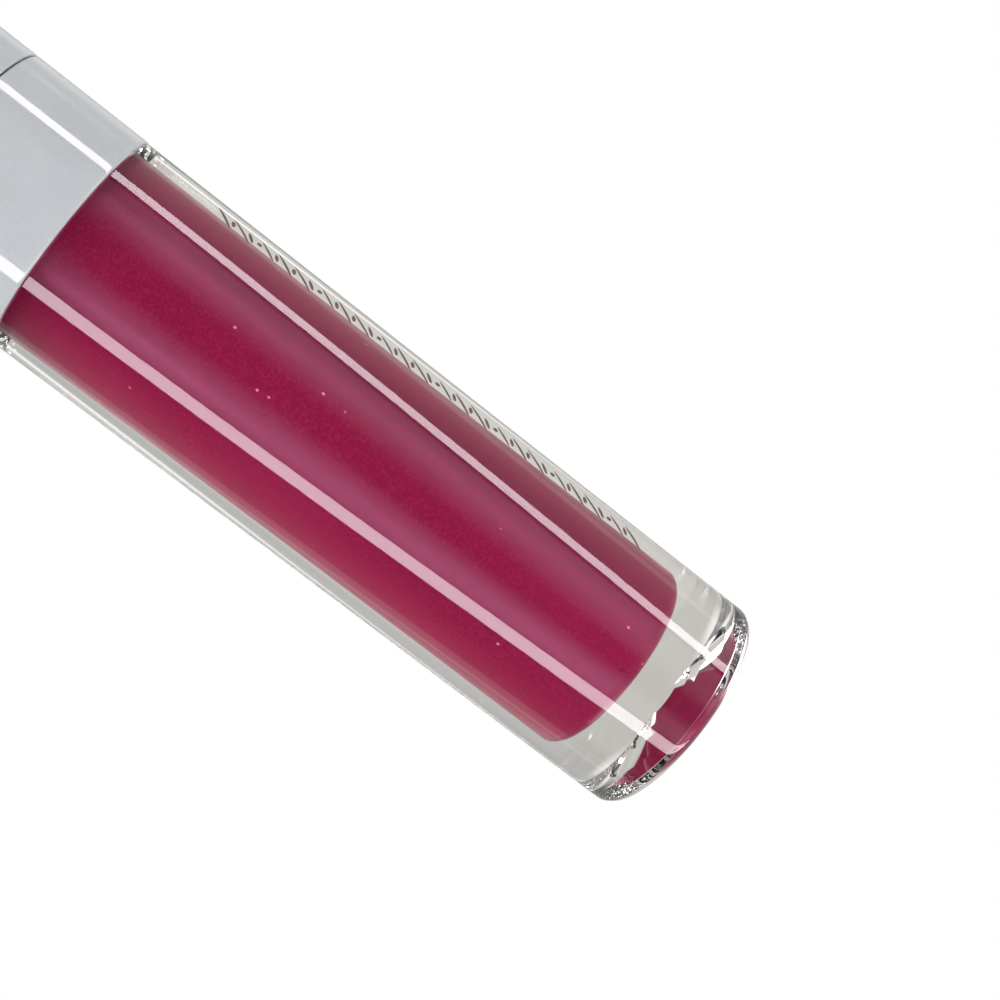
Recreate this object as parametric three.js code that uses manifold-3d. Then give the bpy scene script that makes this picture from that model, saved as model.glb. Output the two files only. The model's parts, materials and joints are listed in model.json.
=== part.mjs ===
// A round, heavy-walled lip gloss tube: clear bottle with its filling, wiper and collar,
// and a screw cap that carries the applicator wand. Millimetres, +Z up, base at z = 0.
import * as THREE from "three";
import { mergeVertices } from "three/addons/utils/BufferGeometryUtils.js";
import Module from "manifold-3d";

const wasm = await Module();
wasm.setup();

// Driving dimensions.
const TUBE_RADIUS = 9.0; // outer wall of the bottle
const TRIM_RADIUS = 9.08; // collar and cap stand a hair proud of the bottle
const SHOULDER_Z = 56.6; // top of the clear body
const SEAM_Z = 66.2; // parting line between collar and cap
const SEAM_GAP = 0.12;
const TOTAL_HEIGHT = 110.0;

// Bottle.
const FOOT_FILLET = 1.0;
const FOOT_INNER_RADIUS = 7.0; // inside edge of the flat foot ring
const GATE_RADIUS = 1.0; // disc left by the moulding gate
const GATE_RISE = 0.03; // step between the gate disc and the first ring
// Rings hollowed under the base, sloping down outwards: outer radius, top height, slope.
const TERRACES = [
  [1.95, 2.12, 0.66],
  [2.95, 1.88, 0.5],
  [4.7, 1.62, 0.45],
  [6.3, 1.12, 0.4],
];
const TERRACE_LAND = 0.16; // flat width at the low edge of each ring
const CAVITY_FLOOR_Z = 5.7;
const CAVITY_CORNER = 1.2;
const CAVITY_FLOOR_RADIUS = 5.2;
const CAVITY_TOP_RADIUS = 5.4; // the draft lets the core come out through the neck
const LAND_RADIUS = 7.9; // the stepped root that the collar is pressed on
const LAND_TOP_Z = 64.9;
const NECK_RADIUS = 6.4;
const NECK_TOP_Z = 78.0;

// Thread: one start, right-handed, a round bead on each side.
const THREAD_LEAD = 3.0;
const THREAD_TURNS = 2.0;
const THREAD_BEAD_RADIUS = 0.65;
const THREAD_FIRST_Z = 69.0;
const CAP_THREAD_START = (4 * Math.PI) / 3; // angle at which the cap's bead starts
const THREAD_STEPS_PER_TURN = 24;

// Filling.
const GLOSS_CLEARANCE = 0.02;
const GLOSS_TOP_Z = 63.0;
const WAND_CHANNEL_RADIUS = 2.7;
const WAND_CHANNEL_FLOOR_Z = 7.6;

// Collar: a sleeve round the land with a web over its top.
const COLLAR_BORE_RADIUS = 8.0;
const COLLAR_WEB_BORE_RADIUS = 6.55;
const COLLAR_WEB_UNDERSIDE_Z = 65.0;
const TRIM_EDGE = 0.12; // broken edges of collar and cap

// Wiper.
const WIPER_FLANGE = 0.8;
const WIPER_FLANGE_RADIUS = 6.3;
const WIPER_BODY_RADIUS = 5.3;
const WIPER_WALL = 0.8;
const WIPER_CONE_TOP_Z = 70.0;
const WIPER_TIP_Z = 65.5;
const WIPER_ORIFICE_RADIUS = 2.2;
const WIPER_TIP_RADIUS = 3.0;

// Seal liner: a loose washer on the stem.
const LINER_THICKNESS = 0.7;
const LINER_BORE_RADIUS = 1.85;
const LINER_RADIUS = 6.2;

// Inner cap.
const INNER_CAP_RADIUS = 8.05;
const INNER_CAP_BORE_RADIUS = 7.25;
const INNER_CAP_LOWER_Z = 67.0;
const INNER_CAP_ROOF_Z = 80.4;
const INNER_CAP_ROOF = 1.4;
const SOCKET_RADIUS = 2.15;
const SOCKET_OUTER_RADIUS = 3.6;
const SOCKET_TOP_Z = 89.0;

// Cap weight.
const WEIGHT_RADIUS = 7.95;
const WEIGHT_BORE_RADIUS = 4.2;
const WEIGHT_HEIGHT = 8.0;
const WEIGHT_CHAMFER = 0.4;

// Cap shell.
const SHELL_BORE_RADIUS = 8.15;
const SHELL_UPPER_BORE_RADIUS = 7.6; // the step holds the weight down
const SHELL_ROOF = 1.2;
const SHELL_TOP_FILLET = 0.8;

// Wand: stem, applicator and flock.
const STEM_RADIUS = 1.6;
const STEM_HEAD_RADIUS = 2.1;
const STEM_FLANGE_RADIUS = 3.0;
const STEM_FLANGE = 0.6;
const STEM_LOWER_Z = 23.0;
const STEM_BORE_RADIUS = 0.95;
const STEM_BORE_DEPTH = 6.0;
const SHANK_RADIUS = 0.9;
const SHANK_LENGTH = 5.6;
const CORE_NECK_RADIUS = 1.15;
const CORE_NECK_LENGTH = 2.0;
const TIP_Z = 9.0;
const TIP_HALF_WIDTH = 2.0;
const TIP_HALF_THICKNESS = 1.45;
const FLOCK_THICKNESS = 0.3;
const TIP_SLANT = Math.PI / 5; // angle of the doe-foot's flat face to the wand's axis
const TIP_FLAT_OFFSET = 0.55; // distance of that face from the axis at its middle

// Segments round the axis.
const COARSE = 36;
const FINE = 48;

const FINISH = {
  clear: { color: 0xe9e7e0, roughness: 0.04, metalness: 0, transparent: true, opacity: 0.35 },
  gloss: { color: 0x8c1941, roughness: 0.15, metalness: 0 },
  pearl: { color: 0xc6cace, roughness: 0.35, metalness: 0.6 },
  natural: { color: 0xe6e6e0, roughness: 0.5, metalness: 0 },
  white: { color: 0xf2f2ee, roughness: 0.4, metalness: 0 },
  foam: { color: 0xdcdcd4, roughness: 0.8, metalness: 0 },
  steel: { color: 0x9a9ca0, roughness: 0.4, metalness: 1 },
  stem: { color: 0xd8d4d2, roughness: 0.3, metalness: 0 },
  flock: { color: 0xe7c7d0, roughness: 0.95, metalness: 0 },
};

// Points of a circular arc in the half-plane (radius, height), ends included.
function arc(r, z, radius, fromAngle, toAngle, steps) {
  return Array.from({ length: steps + 1 }, (_, i) => {
    const angle = fromAngle + ((toAngle - fromAngle) * i) / steps;
    return [r + radius * Math.cos(angle), z + radius * Math.sin(angle)];
  });
}

// A solid of revolution about Z from (radius, height) points, anticlockwise seen with +Z up.
function turned(points, segments = COARSE) {
  const profile = points.map(([r, z]) => new THREE.Vector2(r, z));
  return new THREE.LatheGeometry(profile, segments).rotateX(Math.PI / 2);
}

// The same for a ring-shaped piece, whose outline closes on itself.
function turnedRing(points, segments = COARSE) {
  return turned([...points, points[0]], segments);
}

function toSolid(geometry) {
  const bare = geometry.clone();
  bare.deleteAttribute("normal");
  bare.deleteAttribute("uv");
  const merged = mergeVertices(bare, 1e-4);
  const vertProperties = new Float32Array(merged.attributes.position.array);
  const triVerts = new Uint32Array(merged.index.array);
  return new wasm.Manifold(new wasm.Mesh({ numProp: 3, vertProperties, triVerts }));
}

function toGeometry(solid) {
  const mesh = solid.getMesh();
  const geometry = new THREE.BufferGeometry();
  geometry.setAttribute("position", new THREE.BufferAttribute(mesh.vertProperties, 3));
  geometry.setIndex(new THREE.BufferAttribute(mesh.triVerts, 1));
  geometry.computeVertexNormals();
  return geometry;
}

function piece(name, geometry, finish) {
  const mesh = new THREE.Mesh(geometry, new THREE.MeshStandardMaterial(finish));
  mesh.name = name;
  return mesh;
}

// A right-handed helix about Z.
class Helix extends THREE.Curve {
  constructor(radius, firstZ, phase) {
    super();
    this.radius = radius;
    this.firstZ = firstZ;
    this.phase = phase;
  }

  getPoint(t, target = new THREE.Vector3()) {
    const angle = this.phase + 2 * Math.PI * THREAD_TURNS * t;
    const z = this.firstZ + THREAD_LEAD * THREAD_TURNS * t;
    return target.set(this.radius * Math.cos(angle), this.radius * Math.sin(angle), z);
  }
}

// The bead of a thread, its centre line on the wall that it grows from.
function threadBead(radius, firstZ, phase) {
  const section = new THREE.Shape();
  section.absarc(0, 0, THREAD_BEAD_RADIUS, 0, 2 * Math.PI);
  const path = new Helix(radius, firstZ, phase);
  const steps = THREAD_STEPS_PER_TURN * THREAD_TURNS;
  return new THREE.ExtrudeGeometry(section, { extrudePath: path, steps, curveSegments: 4 });
}

function bottle() {
  const body = turned(
    [
      ...underside(),
      ...arc(TUBE_RADIUS - FOOT_FILLET, FOOT_FILLET, FOOT_FILLET, -Math.PI / 2, 0, 4),
      [TUBE_RADIUS, SHOULDER_Z - 0.15],
      [TUBE_RADIUS - 0.15, SHOULDER_Z],
      [LAND_RADIUS, SHOULDER_Z],
      [LAND_RADIUS, LAND_TOP_Z],
      [NECK_RADIUS, LAND_TOP_Z],
      [NECK_RADIUS, NECK_TOP_Z],
      [CAVITY_TOP_RADIUS, NECK_TOP_Z],
      ...cavityWall().reverse(),
    ],
    FINE,
  );
  const bead = threadBead(NECK_RADIUS, THREAD_FIRST_Z, 0);
  return piece("bottle", toGeometry(toSolid(body).add(toSolid(bead))), FINISH.clear);
}

// Hollow under the base, from the axis out to the foot ring.
function underside() {
  const centre = TERRACES[0][1] + GATE_RISE;
  const points = [
    [0, centre],
    [GATE_RADIUS - 0.05, centre],
  ];
  let inner = GATE_RADIUS;
  for (const [outer, top, slope] of TERRACES) {
    const land = outer - TERRACE_LAND;
    const low = top - (land - inner) * slope;
    points.push([inner, top], [land, low], [outer - 0.02, low]);
    inner = outer;
  }
  points.push([FOOT_INNER_RADIUS - 0.15, 0.2], [FOOT_INNER_RADIUS, 0]);
  return points;
}

// Floor, rounded corner and drafted side of the cavity, from the axis outwards.
function cavityWall(inset = 0) {
  const corner = CAVITY_CORNER - inset;
  const middle = [CAVITY_FLOOR_RADIUS - CAVITY_CORNER, CAVITY_FLOOR_Z + CAVITY_CORNER];
  return [[0, CAVITY_FLOOR_Z + inset], ...arc(...middle, corner, -Math.PI / 2, 0, 4)];
}

function gloss() {
  const top = CAVITY_TOP_RADIUS - 0.06;
  const geometry = turned(
    [
      ...cavityWall(GLOSS_CLEARANCE),
      [top, GLOSS_TOP_Z],
      [WAND_CHANNEL_RADIUS, GLOSS_TOP_Z],
      [WAND_CHANNEL_RADIUS, WAND_CHANNEL_FLOOR_Z],
      [0, WAND_CHANNEL_FLOOR_Z],
    ],
    FINE,
  );
  return piece("gloss", geometry, FINISH.gloss);
}

function collar() {
  const topZ = SEAM_Z - SEAM_GAP / 2;
  const geometry = turnedRing(
    [
      [COLLAR_BORE_RADIUS, SHOULDER_Z],
      [TRIM_RADIUS - TRIM_EDGE, SHOULDER_Z],
      [TRIM_RADIUS, SHOULDER_Z + TRIM_EDGE],
      [TRIM_RADIUS, topZ - TRIM_EDGE],
      [TRIM_RADIUS - TRIM_EDGE, topZ],
      [COLLAR_WEB_BORE_RADIUS, topZ],
      [COLLAR_WEB_BORE_RADIUS, COLLAR_WEB_UNDERSIDE_Z],
      [COLLAR_BORE_RADIUS, COLLAR_WEB_UNDERSIDE_Z],
    ],
    FINE,
  );
  return piece("collar", geometry, FINISH.pearl);
}

function wiper() {
  const flangeTop = NECK_TOP_Z + WIPER_FLANGE;
  const geometry = turnedRing([
    [WIPER_ORIFICE_RADIUS, WIPER_TIP_Z],
    [WIPER_TIP_RADIUS, WIPER_TIP_Z],
    [WIPER_TIP_RADIUS, WIPER_TIP_Z + 1.0],
    [WIPER_BODY_RADIUS, WIPER_CONE_TOP_Z],
    [WIPER_BODY_RADIUS, NECK_TOP_Z],
    [WIPER_FLANGE_RADIUS, NECK_TOP_Z],
    [WIPER_FLANGE_RADIUS, flangeTop],
    [WIPER_BODY_RADIUS - WIPER_WALL + 0.3, flangeTop],
    [WIPER_BODY_RADIUS - WIPER_WALL, flangeTop - 0.3],
    [WIPER_BODY_RADIUS - WIPER_WALL, WIPER_CONE_TOP_Z + 0.4],
    [WIPER_ORIFICE_RADIUS, WIPER_TIP_Z + 1.2],
  ]);
  return piece("wiper", geometry, FINISH.natural);
}

function sealLiner() {
  const lowerZ = NECK_TOP_Z + WIPER_FLANGE;
  const geometry = turnedRing([
    [LINER_BORE_RADIUS, lowerZ],
    [LINER_RADIUS, lowerZ],
    [LINER_RADIUS, lowerZ + LINER_THICKNESS],
    [LINER_BORE_RADIUS, lowerZ + LINER_THICKNESS],
  ]);
  return piece("seal_liner", geometry, FINISH.foam);
}

function innerCap() {
  const roofTop = INNER_CAP_ROOF_Z + INNER_CAP_ROOF;
  const body = turnedRing([
    [INNER_CAP_BORE_RADIUS + 0.3, INNER_CAP_LOWER_Z],
    [INNER_CAP_RADIUS, INNER_CAP_LOWER_Z],
    [INNER_CAP_RADIUS, roofTop],
    [SOCKET_OUTER_RADIUS, roofTop],
    [SOCKET_OUTER_RADIUS, SOCKET_TOP_Z],
    [SOCKET_RADIUS, SOCKET_TOP_Z],
    [SOCKET_RADIUS, INNER_CAP_ROOF_Z],
    [INNER_CAP_BORE_RADIUS, INNER_CAP_ROOF_Z],
    [INNER_CAP_BORE_RADIUS, INNER_CAP_LOWER_Z + 0.3],
  ]);
  // The cap's bead lies midway between two turns of the neck's.
  const firstZ = THREAD_FIRST_Z + THREAD_LEAD * (CAP_THREAD_START / (2 * Math.PI) - 0.5);
  const bead = threadBead(INNER_CAP_BORE_RADIUS, firstZ, CAP_THREAD_START);
  return piece("inner_cap", toGeometry(toSolid(body).add(toSolid(bead))), FINISH.white);
}

function capWeight() {
  const lowerZ = INNER_CAP_ROOF_Z + INNER_CAP_ROOF + 0.05;
  const upperZ = lowerZ + WEIGHT_HEIGHT;
  const geometry = turnedRing([
    [WEIGHT_BORE_RADIUS, lowerZ],
    [WEIGHT_RADIUS - WEIGHT_CHAMFER, lowerZ],
    [WEIGHT_RADIUS, lowerZ + WEIGHT_CHAMFER],
    [WEIGHT_RADIUS, upperZ - WEIGHT_CHAMFER],
    [WEIGHT_RADIUS - WEIGHT_CHAMFER, upperZ],
    [WEIGHT_BORE_RADIUS, upperZ],
  ]);
  return piece("cap_weight", geometry, FINISH.steel);
}

function capShell() {
  const lowerZ = SEAM_Z + SEAM_GAP / 2;
  const stepZ = INNER_CAP_ROOF_Z + INNER_CAP_ROOF + WEIGHT_HEIGHT + 0.2;
  const roofZ = TOTAL_HEIGHT - SHELL_ROOF;
  const filletMiddle = [TRIM_RADIUS - SHELL_TOP_FILLET, TOTAL_HEIGHT - SHELL_TOP_FILLET];
  const geometry = turned(
    [
      [0, roofZ],
      [SHELL_UPPER_BORE_RADIUS - 0.5, roofZ],
      [SHELL_UPPER_BORE_RADIUS, roofZ - 0.5],
      [SHELL_UPPER_BORE_RADIUS, stepZ],
      [SHELL_BORE_RADIUS, stepZ],
      [SHELL_BORE_RADIUS, lowerZ],
      [TRIM_RADIUS - TRIM_EDGE, lowerZ],
      [TRIM_RADIUS, lowerZ + TRIM_EDGE],
      ...arc(...filletMiddle, SHELL_TOP_FILLET, 0, Math.PI / 2, 4),
      [0, TOTAL_HEIGHT],
    ],
    FINE,
  );
  return piece("cap_shell", geometry, FINISH.pearl);
}

function stem() {
  const flangeLower = NECK_TOP_Z + WIPER_FLANGE + LINER_THICKNESS + 0.1;
  const flangeUpper = flangeLower + STEM_FLANGE;
  const boreTop = STEM_LOWER_Z + STEM_BORE_DEPTH;
  const geometry = turned(
    [
      [0, boreTop],
      [STEM_BORE_RADIUS, boreTop],
      [STEM_BORE_RADIUS, STEM_LOWER_Z],
      [STEM_RADIUS - 0.2, STEM_LOWER_Z],
      [STEM_RADIUS, STEM_LOWER_Z + 0.2],
      [STEM_RADIUS, flangeLower],
      [STEM_FLANGE_RADIUS, flangeLower],
      [STEM_FLANGE_RADIUS, flangeUpper],
      [STEM_HEAD_RADIUS, flangeUpper],
      [STEM_HEAD_RADIUS, SOCKET_TOP_Z - 0.9],
      [STEM_HEAD_RADIUS - 0.4, SOCKET_TOP_Z - 0.4],
      [0, SOCKET_TOP_Z - 0.4],
    ],
    COARSE,
  );
  return piece("stem", geometry, FINISH.stem);
}

// The doe-foot: an oval finger cut by a slanting flat. `grow` is the flock's thickness over it.
function doeFoot(grow, lengthAbove) {
  const upperZ = STEM_LOWER_Z - CORE_NECK_LENGTH;
  const tipZ = TIP_Z + FLOCK_THICKNESS - grow;
  const shape = TIP_HALF_WIDTH - FLOCK_THICKNESS + grow;
  const finger = turned(
    [
      [0, tipZ],
      ...arc(0, tipZ + shape, shape, -Math.PI / 2, 0, 6).slice(1),
      [shape, TIP_Z + 7],
      [CORE_NECK_RADIUS + grow, upperZ],
      [0, upperZ + lengthAbove],
    ],
    24,
  );
  finger.scale(1, (TIP_HALF_THICKNESS - FLOCK_THICKNESS + grow) / shape, 1);
  const cutter = new THREE.BoxGeometry(12, 6, 30);
  cutter.translate(0, 3 + TIP_FLAT_OFFSET - FLOCK_THICKNESS + grow, 0);
  cutter.rotateX(-TIP_SLANT / 2);
  cutter.translate(0, 0, TIP_Z + 4);
  return toSolid(finger).subtract(toSolid(cutter));
}

function applicatorCore() {
  const neckLower = STEM_LOWER_Z - CORE_NECK_LENGTH - 0.6;
  const shankTop = STEM_LOWER_Z + SHANK_LENGTH;
  const shank = turned(
    [
      [0, neckLower],
      [CORE_NECK_RADIUS, neckLower],
      [CORE_NECK_RADIUS, STEM_LOWER_Z - 0.05],
      [SHANK_RADIUS, STEM_LOWER_Z - 0.05],
      [SHANK_RADIUS, shankTop],
      [0, shankTop],
    ],
    24,
  );
  return piece("applicator_core", toGeometry(doeFoot(0, 0).add(toSolid(shank))), FINISH.stem);
}

// The flock covers the foot and leaves the core's neck bare.
function applicatorFlock() {
  const core = toSolid(applicatorCore().geometry);
  const trim = new THREE.CylinderGeometry(4, 4, 10, 24).rotateX(Math.PI / 2);
  trim.translate(0, 0, STEM_LOWER_Z - CORE_NECK_LENGTH - 0.8 + 5);
  const sleeve = doeFoot(FLOCK_THICKNESS, 0).subtract(toSolid(trim)).subtract(core);
  return piece("applicator_flock", toGeometry(sleeve), FINISH.flock);
}

const container = new THREE.Group();
container.add(bottle(), gloss(), wiper(), collar());

const closure = new THREE.Group();
closure.add(sealLiner(), innerCap(), capWeight(), capShell());
closure.add(stem(), applicatorCore(), applicatorFlock());

const tube = new THREE.Group();
tube.add(container, closure);

export default tube;
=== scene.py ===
"""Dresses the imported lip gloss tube: clear bottle, filling, collar, cap and wand.

Every piece is turned or cut round the tube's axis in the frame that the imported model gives, so
radii and heights are taken from its nodes, and lengths in this script are in metres.
"""

import json
import logging
import math
from collections.abc import Iterable, Sequence
from dataclasses import dataclass, field
from enum import Enum

import bmesh
import bpy
from mathutils import Matrix, Vector

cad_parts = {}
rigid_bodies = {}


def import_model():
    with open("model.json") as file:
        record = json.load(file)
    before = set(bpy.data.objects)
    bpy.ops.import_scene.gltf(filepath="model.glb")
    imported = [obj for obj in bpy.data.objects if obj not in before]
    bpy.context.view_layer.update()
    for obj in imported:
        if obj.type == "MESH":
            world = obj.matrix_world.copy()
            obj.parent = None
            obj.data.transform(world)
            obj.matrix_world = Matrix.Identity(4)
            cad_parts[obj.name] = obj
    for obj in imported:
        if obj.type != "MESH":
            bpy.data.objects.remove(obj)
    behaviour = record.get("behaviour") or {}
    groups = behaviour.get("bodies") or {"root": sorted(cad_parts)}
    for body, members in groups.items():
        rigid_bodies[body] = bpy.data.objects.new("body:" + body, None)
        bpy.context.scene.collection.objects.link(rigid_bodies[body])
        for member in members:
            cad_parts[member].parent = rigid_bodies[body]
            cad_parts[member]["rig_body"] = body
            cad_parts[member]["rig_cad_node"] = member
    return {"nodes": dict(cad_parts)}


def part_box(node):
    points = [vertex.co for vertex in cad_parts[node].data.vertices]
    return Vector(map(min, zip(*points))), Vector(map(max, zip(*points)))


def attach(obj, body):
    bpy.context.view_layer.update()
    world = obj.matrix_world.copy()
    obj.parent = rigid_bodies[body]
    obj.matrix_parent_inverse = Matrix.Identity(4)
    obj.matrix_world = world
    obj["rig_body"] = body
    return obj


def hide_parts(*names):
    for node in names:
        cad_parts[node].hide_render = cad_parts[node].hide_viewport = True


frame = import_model()

MM = 0.001
LOG = logging.getLogger("lip_gloss_tube")
AXIS = (0.0, 0.0, 1.0)
GUARD = 0.12 * MM  # how far a guard ring stands from its corner
GUARDED_LENGTH = 1.0 * MM  # longer straights get guard rings
FLAT_CAP = 0.2 * MM  # radius of the cap where an outline reaches the axis
FINE_CAP = 0.1 * MM  # the same on a small end
SOFT_EDGE = 0.1 * MM  # broken edges of moulded pieces
TRIM_EDGE = 0.12 * MM  # rounded edges of collar and cap
NOISE_LOW, NOISE_HIGH = 0.3, 0.7  # the range that most of a noise pattern lies in

Outline = list[tuple[float, float]]
Piece = bpy.types.Object
Socket = bpy.types.NodeSocket


# Modelling helpers


class Ends(Enum):
    """How a turned outline is shut."""

    CAPPED = "capped"
    JOINED = "joined"


def arc(
    middle: tuple[float, float], radius: float, start: float, end: float, steps: int
) -> Outline:
    """Work out points of a circular arc in the half-plane of an outline.

    Args:
        middle: The arc's centre as (distance from the axis, height).
        radius: The arc's radius.
        start: The first point's angle in degrees, from the outward direction.
        end: The last point's angle in degrees.
        steps: How many chords the arc is made of.

    Returns:
        The arc's points, both ends included.
    """
    turn = [math.radians(start + (end - start) * i / steps) for i in range(steps + 1)]
    return [(middle[0] + radius * math.cos(a), middle[1] + radius * math.sin(a)) for a in turn]


def deselect() -> None:
    """Leave object mode with nothing selected."""
    if bpy.context.object and bpy.context.object.mode != "OBJECT":
        bpy.ops.object.mode_set(mode="OBJECT")
    bpy.ops.object.select_all(action="DESELECT")


def choose(obj: Piece) -> None:
    """Select one object and make it the active one.

    Args:
        obj: The object to select.
    """
    deselect()
    obj.select_set(True)
    bpy.context.view_layer.objects.active = obj


def select_verts(obj: Piece, wanted: Iterable[int]) -> None:
    """Select vertices by number in edit mode, and nothing else.

    Args:
        obj: The mesh object being edited.
        wanted: The numbers of the vertices to select.
    """
    chosen = set(wanted)
    shape = bmesh.from_edit_mesh(obj.data)
    for face in shape.faces:
        face.select = False
    for edge in shape.edges:
        edge.select = False
    for vert in shape.verts:
        vert.select = vert.index in chosen
    shape.select_flush(True)
    bmesh.update_edit_mesh(obj.data)


def smooth(obj: Piece, angle: float = 30.0) -> None:
    """Shade smooth where faces meet at less than an angle.

    Args:
        obj: The mesh object.
        angle: The largest smooth angle, in degrees.
    """
    choose(obj)
    bpy.ops.object.shade_smooth_by_angle(angle=math.radians(angle))
    deselect()


def leave_edit() -> None:
    """Point all faces of the piece being edited outwards and return to object mode."""
    bpy.ops.mesh.select_all(action="SELECT")
    bpy.ops.mesh.normals_make_consistent(inside=False)
    bpy.ops.object.mode_set(mode="OBJECT")


def settle(obj: Piece) -> None:
    """Put an object's place and turn into its mesh.

    Args:
        obj: The object to settle at the origin.
    """
    choose(obj)
    bpy.ops.object.transform_apply(location=True, rotation=True, scale=True)


def apply_modifier(obj: Piece, kind: str, **settings: object) -> None:
    """Add a modifier, set it and apply it.

    Args:
        obj: The object it works on.
        kind: Blender's name of the modifier type.
        **settings: The modifier's settings by name.
    """
    choose(obj)
    modifier = obj.modifiers.new(kind.title(), kind)
    for name, value in settings.items():
        setattr(modifier, name, value)
    bpy.ops.object.modifier_apply(modifier=modifier.name)


def guarded(outline: Outline, ends: Ends) -> Outline:
    """Add a ring near both ends of every long straight, so that smoothing leaves it flat.

    Args:
        outline: The (radius, height) points.
        ends: Whether the outline's two ends are capped or joined.

    Returns:
        The outline with its guard rings.
    """
    stops = [*outline[1:], outline[0]] if ends is Ends.JOINED else outline[1:]
    rings = []
    for start, stop in zip(outline, stops):
        rings.append(start)
        length = math.dist(start, stop)
        shares = (GUARD / length, 1 - GUARD / length) if length > GUARDED_LENGTH else ()
        for share in shares:
            rings.append(tuple(a + (b - a) * share for a, b in zip(start, stop)))
    if ends is Ends.CAPPED:
        rings.append(outline[-1])
    return rings


def turn_piece(
    name: str, outline: Outline, ends: Ends = Ends.CAPPED, segments: int = 128
) -> Piece:
    """Turn a piece round the axis, as on a lathe: a circle is drawn out ring by ring.

    Args:
        name: The piece's name.
        outline: Its (radius, height) points, none of them on the axis.
        ends: Whether its two ends are capped flat or joined to each other.
        segments: How many sides each ring has.

    Returns:
        The closed mesh object, its faces pointing outwards.
    """
    deselect()
    rings = guarded(outline, ends)
    (radius, height), *others = rings
    bpy.ops.mesh.primitive_circle_add(
        vertices=segments, radius=radius, location=(0, 0, 0), enter_editmode=True
    )
    obj = bpy.context.object
    obj.name = obj.data.name = name
    bpy.ops.mesh.select_all(action="SELECT")
    bpy.ops.transform.translate(value=(0, 0, height))
    for next_radius, next_height in others:
        rise = (0, 0, next_height - height)
        bpy.ops.mesh.extrude_region_move(TRANSFORM_OT_translate={"value": rise})
        ratio = next_radius / radius
        bpy.ops.transform.resize(value=(ratio, ratio, 1), center_override=(0, 0, next_height))
        radius, height = next_radius, next_height
    total = segments * len(rings)
    first, last = range(segments), range(total - segments, total)
    if ends is Ends.JOINED:
        select_verts(obj, [*first, *last])
        bpy.ops.mesh.bridge_edge_loops()
    else:
        for loop in (first, last):
            select_verts(obj, loop)
            bpy.ops.mesh.edge_face_add()
    leave_edit()
    return obj


def ring_piece(name: str, node: str, bore: float, chamfer: float) -> Piece:
    """Turn a ring as wide and tall as a node, its outer edges chamfered.

    Args:
        name: The piece's name.
        node: The plain node whose box it fills.
        bore: The radius of its hole.
        chamfer: The width of the chamfers.

    Returns:
        The ring.
    """
    low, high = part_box(node)
    outline = [
        (bore, low.z),
        (high.x - chamfer, low.z),
        (high.x, low.z + chamfer),
        (high.x, high.z - chamfer),
        (high.x - chamfer, high.z),
        (bore, high.z),
    ]
    piece = turn_piece(name, outline, Ends.JOINED, 96)
    smooth(piece)
    return piece


@dataclass(frozen=True)
class Thread:
    """A one-start right-handed round thread."""

    lead: float = 3.0 * MM
    turns: float = 2.0
    bead: float = 0.65 * MM
    first_height: float = 69.0 * MM
    steps_per_turn: int = 64
    sides: int = 16
    cap_start: float = 240.0

    def grow(self, wall: Piece, radius: float, start: float) -> None:
        """Join a helical bead to a wall.

        Args:
            wall: The piece whose wall carries the thread.
            radius: The distance of the bead's middle from the axis.
            start: The angle at which it starts, in degrees.
        """
        height = self.first_height
        if start:
            height += self.lead * (start / 360 - 0.5)
        deselect()
        bpy.ops.mesh.primitive_circle_add(
            vertices=self.sides,
            radius=self.bead,
            location=(radius, 0, height),
            rotation=(math.radians(90), 0, 0),
        )
        bead = bpy.context.object
        settle(bead)
        apply_modifier(
            bead,
            "SCREW",
            angle=math.tau * self.turns,
            screw_offset=self.lead * self.turns,
            steps=int(self.steps_per_turn * self.turns),
            render_steps=int(self.steps_per_turn * self.turns),
            use_smooth_shade=True,
        )
        bpy.ops.object.mode_set(mode="EDIT")
        bpy.ops.mesh.select_all(action="SELECT")
        bpy.ops.mesh.fill_holes(sides=0)
        leave_edit()
        bead.rotation_euler.z = math.radians(start)
        settle(bead)
        apply_modifier(wall, "BOOLEAN", operation="UNION", object=bead, solver="EXACT")
        bpy.data.objects.remove(bead)


# Materials


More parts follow.
